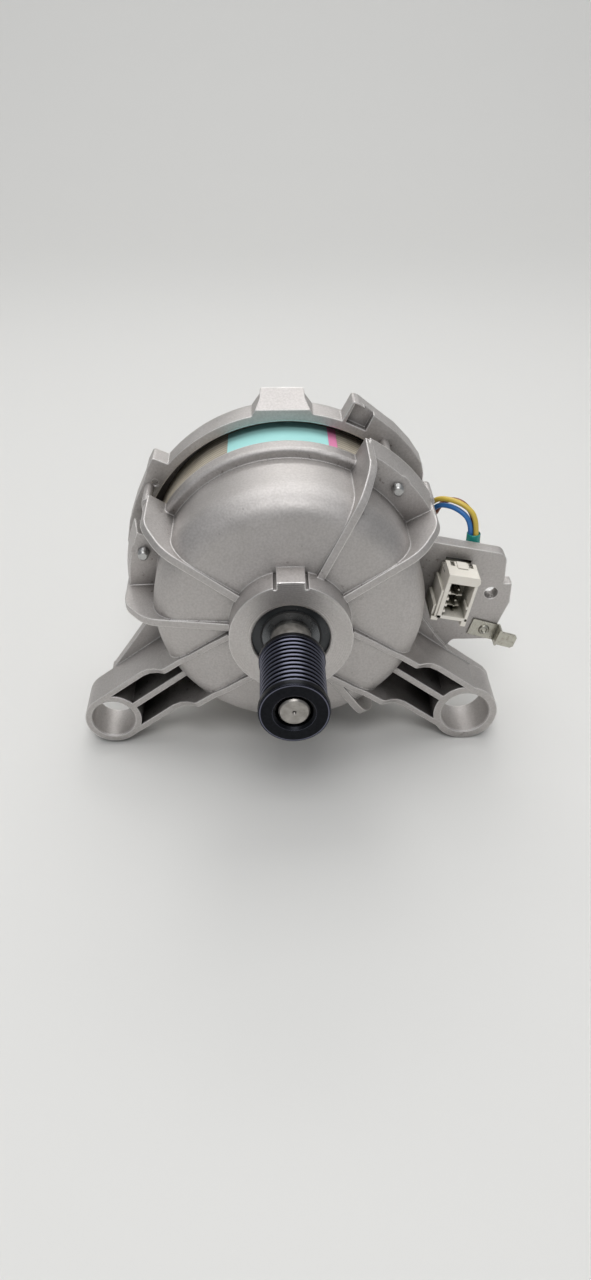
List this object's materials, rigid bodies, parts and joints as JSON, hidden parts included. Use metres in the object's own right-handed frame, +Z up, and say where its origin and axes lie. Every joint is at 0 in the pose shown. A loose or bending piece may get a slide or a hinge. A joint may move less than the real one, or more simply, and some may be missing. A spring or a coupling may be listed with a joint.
{
  "type": "washing machine motor",
  "caption": "Washing machine drive motor: finned die-cast end shields round a wound stator, lug arms for mounting, a ribbed belt pulley on the shaft and a connector plate with leads.",
  "frame": {"origin": "on the shaft axis at the middle of the pulley's belt track", "axes": "+X across the lugs towards the connector plate, +Y along the shaft away from the pulley, +Z up, square to the line through both lugs"},
  "size_m": [0.1791, 0.1503, 0.1371],
  "materials": {
    "blackened_steel": "blackened, satin, bright worn rib crests",
    "shaft_steel": "ground",
    "cast_aluminium": "die-cast, satin, fine grain",
    "varnished_laminations": "resin varnished, layered",
    "enamelled_wire": "enamelled copper winding",
    "insulator_nylon": "moulded",
    "label_blue": "satin film, blank",
    "label_pink": "satin film, blank",
    "rotor_laminations": "turned laminations",
    "cage_aluminium": "cast",
    "zinc_steel": "zinc plated",
    "spring_steel": "rolled",
    "bearing_steel": "ground and polished",
    "seal_rubber": "moulded",
    "ferrite": "sintered",
    "sensor_bobbin": "taped winding",
    "cover_plastic": "moulded",
    "ivory_nylon": "moulded, satin",
    "tinned_brass": "tinned, matte",
    "guide_rubber": "moulded",
    "lead_yellow_pvc": "extruded",
    "lead_blue_pvc": "extruded",
    "lead_brown_pvc": "extruded",
    "sleeve_teal": "heat shrunk"
  },
  "bodies": {
    "stator": {"front_shield": "cast_aluminium", "rear_shield": "cast_aluminium", "stator_stack": "varnished_laminations", "stator_coils": "enamelled_wire", "front_insulator": "insulator_nylon", "rear_insulator": "insulator_nylon", "rating_label": "label_blue", "label_stripe": "label_pink", "through_bolts": "zinc_steel", "wave_washer": "spring_steel", "sensor_coil": "sensor_bobbin", "sensor_cover": "cover_plastic", "sensor_screws": "zinc_steel", "connector_housing": "ivory_nylon", "connector_contacts": "tinned_brass", "earth_terminal": "tinned_brass", "earth_rivet": "cage_aluminium", "lead_guide": "guide_rubber", "lead_yellow": "lead_yellow_pvc", "lead_blue": "lead_blue_pvc", "lead_red": "lead_brown_pvc", "lead_sleeve": "sleeve_teal", "front_bearing_outer_race": "bearing_steel", "front_bearing_seals": "seal_rubber", "rear_bearing_outer_race": "bearing_steel", "rear_bearing_seals": "seal_rubber"},
    "rotor": {"shaft": "shaft_steel", "drive_pulley": "blackened_steel", "rotor_core": "rotor_laminations", "rotor_cage": "cage_aluminium", "front_bearing_inner_race": "bearing_steel", "rear_bearing_inner_race": "bearing_steel", "sensor_magnet": "ferrite"},
    "front_balls": {"front_bearing_balls": "bearing_steel", "front_bearing_cage": "spring_steel"},
    "rear_balls": {"rear_bearing_balls": "bearing_steel", "rear_bearing_cage": "spring_steel"}
  },
  "joints": [
    {"name": "rotor_spin", "type": "hinge", "parent": "stator", "child": "rotor", "pos_m": [0, 0, 0], "axis": [0, 1, 0], "continuous": true},
    {"name": "front_ball_orbit", "type": "hinge", "parent": "stator", "child": "front_balls", "pos_m": [0, 0.03515, 0], "axis": [0, 1, 0], "continuous": true},
    {"name": "rear_ball_orbit", "type": "hinge", "parent": "stator", "child": "rear_balls", "pos_m": [0, 0.1151, 0], "axis": [0, 1, 0], "continuous": true}
  ],
  "couplings": [
    {"joint": "front_ball_orbit", "follows": "rotor_spin", "ratio": 0.3808},
    {"joint": "rear_ball_orbit", "follows": "rotor_spin", "ratio": 0.3659}
  ]
}
